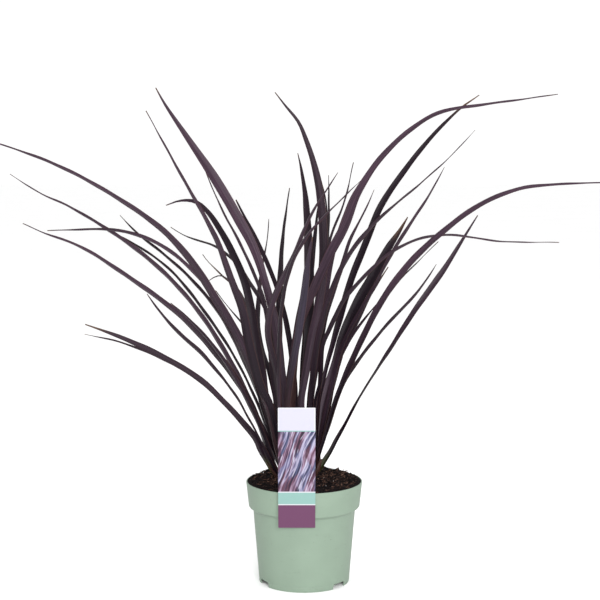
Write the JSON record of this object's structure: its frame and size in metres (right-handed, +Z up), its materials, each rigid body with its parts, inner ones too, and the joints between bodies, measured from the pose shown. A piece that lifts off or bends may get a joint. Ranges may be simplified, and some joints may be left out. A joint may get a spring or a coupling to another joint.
{
  "type": "potted new zealand flax plant",
  "caption": "Young New Zealand flax with long arching red-black strap leaves, growing in a round nursery pot of compost with a printed label hooked over the rim.",
  "frame": {"origin": "on the ground, at the middle of the flat underside of the pot", "axes": "+Z up along the pot's axis, -Y towards the side with the label, +X to the right of a viewer who faces the label"},
  "size_m": [0.6729, 0.3762, 0.5482],
  "materials": {
    "pot": "satin",
    "soil": "matte",
    "leaf": "satin",
    "label": "satin"
  },
  "bodies": {
    "root": {"pot": "pot", "soil": "soil", "fan_far_left": "leaf", "fan_left_back": "leaf", "fan_front": "leaf", "fan_left_centre": "leaf", "fan_back": "leaf", "fan_centre": "leaf", "fan_right": "leaf", "fan_right_back": "leaf", "label": "label"}
  },
  "joints": []
}
